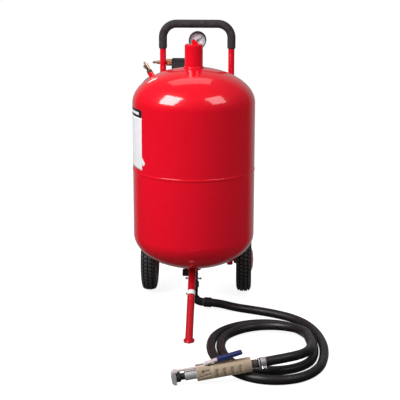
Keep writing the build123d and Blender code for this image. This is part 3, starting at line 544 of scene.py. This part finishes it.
def spring_sections():
    """Rings of the wire along the spring's helix."""
    side = VALVE_OUT.orthogonal().normalized()
    other = VALVE_OUT.cross(side)
    count = SPRING_TURNS * RINGS_PER_TURN
    sections = []
    for index in range(count + 1):
        a = 2 * math.pi * index / RINGS_PER_TURN
        out = side * math.cos(a) + other * math.sin(a)
        up = SPRING_START + SPRING_RISE * index / count
        middle = VALVE_SEAT + VALVE_OUT * up + out * SPRING_R
        sections.append(circle(middle, out, VALVE_OUT, WIRE_R, 12))
    return sections


relief_spring = add_piece("relief_spring", *loft(spring_sections()), "frame", "spring_steel")
crease(relief_spring, 60.0)
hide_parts("safety_spring")
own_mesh(relief_spring)

# ---------------------------------------------------------------- blast gun body
GUN_TIP = Vector((-0.028, -0.320, 0.0185))
GUN_YAW = math.radians(10.0)
GUN_PITCH = math.radians(7.8)
GUN_ALONG = Vector((math.cos(GUN_PITCH) * math.cos(GUN_YAW),
                    math.cos(GUN_PITCH) * math.sin(GUN_YAW), math.sin(GUN_PITCH)))
GUN_SIDE = Vector((-math.sin(GUN_YAW), math.cos(GUN_YAW), 0.0))
GUN_UP = GUN_ALONG.cross(GUN_SIDE)
BORE_R = 10.08
SLOT_HALF = 9.5
PARTING = 0.05
SKIN_POINTS = 61
BORE_POINTS = 19
GROOVES = (119.0, 139.0, 159.5, 180.5)
GROOVE_HALF = 6.2
FINGER_DEPTH = 3.2
POCKETS = ((68, 104, -9, 5.0, 2.4), (86, 101, 22, 6.0, 2.8))


def gun_point(along, side, height):
    """A place in the gun's own frame, given in millimetres."""
    reach = GUN_ALONG * along + GUN_SIDE * side + GUN_UP * height
    return GUN_TIP + reach * 0.001


def smooth_step(value, low, high):
    t = min(1.0, max(0.0, (value - low) / (high - low)))
    return t * t * (3 - 2 * t)


def body_top(s):
    """Height of the gun body's ridge above its bore."""
    return 24.6 - 5.3 * smooth_step(s, 86, 108)


def body_outline(s, angle):
    """(side, height) of the body's skin at an angle from the horizontal, in millimetres."""
    low = 19.0 + 0.3 * smooth_step(s, 66, 68.5) - 0.9 * smooth_step(s, 207, 210)
    height = body_top(s) if angle > 0 else low
    power = 0.88
    across = low * abs(math.cos(angle)) ** power
    up = height * math.copysign(abs(math.sin(angle)) ** power, angle)
    scale = min(1.0, 19.45 / math.hypot(across, up)) if angle <= 0 else 1.0
    dent = 0.0
    for centre in GROOVES:
        off = (s - centre) / GROOVE_HALF
        if abs(off) < 1:
            dent += FINGER_DEPTH * (1 - off * off) ** 1.3
    reach = smooth_step(angle, math.radians(-72), math.radians(-40))
    reach *= 1 - smooth_step(angle, math.radians(12), math.radians(36))
    dent *= reach
    for start, end, middle, tall, deep in POCKETS:
        tilt = middle + (s - start) * 0.25
        near = 1 - abs(math.degrees(angle) - tilt) / tall
        if start < s < end and near > 0:
            dent += deep * min(1.0, 2.0 * near) * min(1.0, (s - start) / 2, (end - s) / 2)
    radius = math.hypot(across, up) * scale
    shrink = max(0.5, (radius - dent) / math.hypot(across, up))
    return across * shrink, up * shrink


def body_section(s, half, slotted):
    """The closed outline of one half of the body, with or without the lever's slot on top."""
    places = []
    slot = SLOT_HALF if slotted else PARTING
    for index in range(SKIN_POINTS):
        angle = math.radians(-90 + 180 * index / (SKIN_POINTS - 1))
        across, up = body_outline(s, angle)
        if angle > 0 and across < slot:
            break
        places.append((max(across, PARTING), up))
    top = places[-1][1]
    while len(places) < SKIN_POINTS:
        places.append((slot, top))
    if slotted:
        floor = 5.0 + 14.0 * min(1.0, max(0.0, (s - 98.0) / 8.0))
        near = min(floor, BORE_R)
        inset = max(math.sqrt(BORE_R * BORE_R - near * near), PARTING)
        start = math.asin(near / BORE_R)
    else:
        floor = top
        inset = PARTING
        start = math.pi / 2
    places.append((slot, min(floor, top)))
    places.append((inset, min(floor, top)))
    for index in range(BORE_POINTS):
        angle = start + (-math.pi / 2 - start) * index / (BORE_POINTS - 1)
        places.append((max(PARTING, BORE_R * math.cos(angle)), BORE_R * math.sin(angle)))
    return [gun_point(s, half * across, up) for across, up in places]


def gun_half(name, half):
    """One moulded half of the gun, slotted for the lever from its front end to 106 mm."""
    sections = [body_section(66 + 0.5 * index, half, True) for index in range(81)]
    sections += [body_section(106 + index, half, False) for index in range(105)]
    shell = add_piece(f"{name}_shell", *loft(sections), "frame", "tan_plastic")
    crease(shell, 32.0)
    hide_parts(name)


gun_half("gun_body_left", 1)
gun_half("gun_body_right", -1)


def turned_piece(name, centre, axis, profile, slot_name, count):
    """A turned piece on the frame, from (along, radius) pairs in metres."""
    axis = Vector(axis).normalized()
    side = axis.orthogonal().normalized()
    other = axis.cross(side)
    sections = []
    for along, radius in profile:
        sections.append(circle(Vector(centre) + axis * along, side, other, radius, count))
    obj = add_piece(name, *loft(sections), "frame", slot_name)
    crease(obj, 30.0)


SCREW_ALONG = 82.0
SCREW_SUNK = 1.4
screw_side, screw_up = body_outline(SCREW_ALONG, math.radians(21.0))
for half, side_name in ((-1, "near"), (1, "far")):
    turned_piece(f"gun_screw_{side_name}",
                 gun_point(SCREW_ALONG, half * (screw_side - SCREW_SUNK), screw_up),
                 GUN_SIDE * half,
                 [(0.0, 0.0034), (0.0015, 0.0034), (0.0019, 0.0030), (0.0019, 0.0017),
                  (0.0008, 0.0015), (0.0008, 0.0001)], "black_cast", 24)

turned_piece("hose_end_ring", gun_point(229.3, 0.0, 0.0), GUN_ALONG,
             [(0.0, 0.0105), (0.0, 0.0128), (0.0004, 0.0134), (0.0028, 0.0134),
              (0.0032, 0.0128), (0.0032, 0.0105)], "chrome_steel", 40)

# ---------------------------------------------------------------- gauge dial
DIAL_Z = 0.797
DIAL_FACE_Y = 0.4972
PRINT_PROUD = 0.00012
DIAL_START = 225
DIAL_SWEEP = 270
TICKS = 30
ARC_STEPS = 60
ARC_INNER = 0.0206
ARC_OUTER = 0.0212


def dial_marks():
    """Ticks round the dial and a thin arc that joins them, as thin raised print."""
    verts = []
    faces = []

    def quad(corners):
        start = len(verts)
        for x, z in corners:
            verts.append((x, DIAL_FACE_Y - PRINT_PROUD, DIAL_Z + z))
        faces.append((start, start + 1, start + 2, start + 3))

    for index in range(TICKS + 1):
        angle = math.radians(DIAL_START - DIAL_SWEEP * index / TICKS)
        long = index % 5 == 0
        inner = 0.0162 if long else 0.0180
        half = 0.00055 if long else 0.00025
        out = (math.cos(angle), math.sin(angle))
        side = (-out[1], out[0])
        corners = []
        for reach, sign in ((inner, -1), (ARC_INNER, -1), (ARC_INNER, 1), (inner, 1)):
            corners.append((out[0] * reach + side[0] * half * sign,
                            out[1] * reach + side[1] * half * sign))
        quad(corners)
    for index in range(ARC_STEPS):
        first = math.radians(DIAL_START - DIAL_SWEEP * index / ARC_STEPS)
        second = math.radians(DIAL_START - DIAL_SWEEP * (index + 1) / ARC_STEPS)
        quad([(math.cos(first) * ARC_INNER, math.sin(first) * ARC_INNER),
              (math.cos(first) * ARC_OUTER, math.sin(first) * ARC_OUTER),
              (math.cos(second) * ARC_OUTER, math.sin(second) * ARC_OUTER),
              (math.cos(second) * ARC_INNER, math.sin(second) * ARC_INNER)])
    return verts, faces


add_piece("dial_marks", *dial_marks(), "frame", "needle_black", smooth=False)

# ---------------------------------------------------------------- labels
TANK_Y = 0.270
TANK_R = 0.180
HEAD_H = 0.103
TOP_Z = 0.641
LABEL_CELLS = 28

label_white = plastic("label_white", (0.74, 0.73, 0.75), (0.82, 0.81, 0.83), (0.3, 0.5),
                      300.0, 0.00006)
label_black = plastic("label_black", (0.012, 0.012, 0.013), (0.022, 0.021, 0.022), (0.3, 0.5),
                      300.0, 0.00006)


def tank_skin(angle, height, proud):
    """A point on the tank's wall or head, at an angle from the front towards the right."""
    if height <= TOP_Z:
        reach = TANK_R + proud
        up = height
    else:
        tilt = (height - TOP_Z) / HEAD_H
        reach = (TANK_R + proud) * math.cos(tilt)
        up = TOP_Z + (HEAD_H + proud) * math.sin(tilt)
    return (reach * math.sin(angle), TANK_Y - reach * math.cos(angle), up)


def label(name, left, right, low, high, material, slot_name, slant=0.0, turn=0.0, proud=0.00018):
    """A thin blank label laid on the tank between two angles and two heights."""
    verts = []
    faces = []
    middle_a = (left + right) / 2
    middle_h = (low + high) / 2
    for row in range(LABEL_CELLS + 1):
        for column in range(LABEL_CELLS + 1):
            u = column / LABEL_CELLS
            v = row / LABEL_CELLS
            across = math.radians(left + (right - left) * u - middle_a) * TANK_R
            up = low + (high - low) * v - middle_h + slant * (1 - v) * (u - 0.5)
            a = across * math.cos(turn) - up * math.sin(turn)
            h = across * math.sin(turn) + up * math.cos(turn)
            verts.append(tank_skin(math.radians(middle_a) + a / TANK_R, middle_h + h, proud))
    for row in range(LABEL_CELLS):
        for column in range(LABEL_CELLS):
            start = row * (LABEL_CELLS + 1) + column
            faces.append((start, start + 1, start + LABEL_CELLS + 2, start + LABEL_CELLS + 1))
    obj = add_piece(name, verts, faces, "frame", slot_name, material)
    solid = obj.modifiers.new("thickness", "SOLIDIFY")
    solid.thickness = 0.0001
    solid.offset = -1.0


BAND_PROFILE = ((0.0808, 0.0112), (0.0811, 0.01155), (0.0875, 0.01155), (0.0940, 0.01155),
                (0.0943, 0.0112))
BAND_INNER_R = 0.01102

label("side_label", -104.0, -53.0, 0.461, 0.611, label_white, "gauge_face", -0.006)
label("side_label_header", -104.0, -53.0, 0.611, 0.634, label_black, "black_plastic")
label("side_label_bar", -98.0, -58.0, 0.6185, 0.6265, label_white, "gauge_face", proud=0.0003)
label("small_label", -55.0, -48.4, 0.4775, 0.4905, label_white, "gauge_face", turn=-0.8)
label("dome_label", -69.0, -61.0, 0.7165, 0.7265, label_white, "gauge_face", turn=0.75)


def leg_band():
    """A pale tape wrapped once round the front leg, slightly rounded at its two edges."""
    top = Vector((0.0, 0.194, 0.1546))
    foot = Vector((0.0, 0.0, 0.005))
    axis = (foot - top).normalized()
    side = Vector((1.0, 0.0, 0.0))
    other = axis.cross(side)
    outside = []
    inside = []
    for along, radius in BAND_PROFILE:
        middle = top + axis * along
        outside.append(circle(middle, side, other, radius, 48))
        inside.append(circle(middle, side, other, BAND_INNER_R, 48))
    band = add_piece("leg_band", *loft(outside + inside[::-1], ring=True), "frame", "gauge_face",
                     label_white)
    crease(band, 30.0)


leg_band()
turned_piece("leg_band_knot", (-0.0112, 0.1240, 0.0998), (-1.0, -0.3, 0.1),
             [(0.0, 0.0001), (0.0, 0.0022), (0.0012, 0.0028), (0.0030, 0.0026),
              (0.0042, 0.0014), (0.0044, 0.0001)], "black_plastic", 20)

# ---------------------------------------------------------------- floor, light and world
floor_mesh = bpy.data.meshes.new("floor")
floor_mesh.from_pydata([(-20, -20, 0), (20, -20, 0), (20, 20, 0), (-20, 20, 0)], [],
                       [(0, 1, 2, 3)])
floor = bpy.data.objects.new("floor", floor_mesh)
scene.collection.objects.link(floor)
floor_look = Surface("floor", 0.9, Emission_Color=(1.0, 1.0, 1.0, 1.0), Emission_Strength=0.88,
                     Specular_IOR_Level=0.0)
floor_look.colour((0.34, 0.34, 0.34))
paint(floor, floor_look.material)
floor.visible_glossy = False
floor.visible_diffuse = False


def soft_box(name, azimuth, elevation, distance, width, height, strength):
    """A rectangular light aimed at the tank, at an angle from the front towards the right."""
    data = bpy.data.lights.new(name, "AREA")
    data.shape = "RECTANGLE"
    data.size = width
    data.size_y = height
    data.energy = strength * width * height * math.pi
    light = bpy.data.objects.new(name, data)
    a = math.radians(azimuth)
    e = math.radians(elevation)
    aim = Vector((math.sin(a) * math.cos(e), -math.cos(a) * math.cos(e), math.sin(e)))
    light.location = Vector((0.0, TANK_Y, 0.5)) + aim * distance
    light.rotation_euler = aim.to_track_quat("Z", "Y").to_euler()
    scene.collection.objects.link(light)


soft_box("key", azimuth=-51.0, elevation=42.0, distance=3.4, width=1.8, height=2.1, strength=11.8)
soft_box("fill", azimuth=55.0, elevation=44.0, distance=3.6, width=1.7, height=1.7, strength=3.6)
soft_box("overhead", azimuth=-171.0, elevation=62.0, distance=3.0, width=1.7, height=0.9,
         strength=0.9)

world = bpy.data.worlds.new("studio")
scene.world = world
world.use_nodes = True
world_nodes = world.node_tree.nodes
backdrop = world_nodes["Background"]
backdrop.inputs["Color"].default_value = (1.0, 1.0, 1.0, 1.0)
backdrop.inputs["Strength"].default_value = 1.0


def studio_light():
    """Plain white light, seen by rays other than the camera's."""
    light = world_nodes.new("ShaderNodeBackground")
    light.inputs["Color"].default_value = (1.0, 1.0, 1.0, 1.0)
    return light


def spread_over(from_low, from_high, to_low, to_high):
    """A node that carries one range of values over to another."""
    spread = world_nodes.new("ShaderNodeMapRange")
    spread.inputs["From Min"].default_value = from_low
    spread.inputs["From Max"].default_value = from_high
    spread.inputs["To Min"].default_value = to_low
    spread.inputs["To Max"].default_value = to_high
    return spread


# Diffuse rays meet an even light, and glossy ones a dim room that is brighter above and behind.
diffused = studio_light()
diffused.inputs["Strength"].default_value = 0.36
mirrored = studio_light()
direction = world_nodes.new("ShaderNodeTexCoord")
parts = world_nodes.new("ShaderNodeSeparateXYZ")
rise = spread_over(-0.05, 0.9, 0.03, 0.12)
behind = spread_over(0.55, 0.95, 0.0, 0.36)
brighter = world_nodes.new("ShaderNodeMath")
brighter.operation = "MAXIMUM"
ray = world_nodes.new("ShaderNodeLightPath")
first_choice = world_nodes.new("ShaderNodeMixShader")
last_choice = world_nodes.new("ShaderNodeMixShader")
join = world.node_tree.links.new
join(direction.outputs["Generated"], parts.inputs["Vector"])
join(parts.outputs["Z"], rise.inputs["Value"])
join(parts.outputs["Y"], behind.inputs["Value"])
join(rise.outputs["Result"], brighter.inputs[0])
join(behind.outputs["Result"], brighter.inputs[1])
join(brighter.outputs["Value"], mirrored.inputs["Strength"])
join(ray.outputs["Is Glossy Ray"], first_choice.inputs["Fac"])
join(diffused.outputs["Background"], first_choice.inputs[1])
join(mirrored.outputs["Background"], first_choice.inputs[2])
join(ray.outputs["Is Camera Ray"], last_choice.inputs["Fac"])
join(first_choice.outputs["Shader"], last_choice.inputs[1])
join(backdrop.outputs["Background"], last_choice.inputs[2])
join(last_choice.outputs["Shader"], world_nodes["World Output"].inputs["Surface"])
scene.view_settings.view_transform = "Standard"

# ---------------------------------------------------------------- view layer update
bpy.context.view_layer.update()
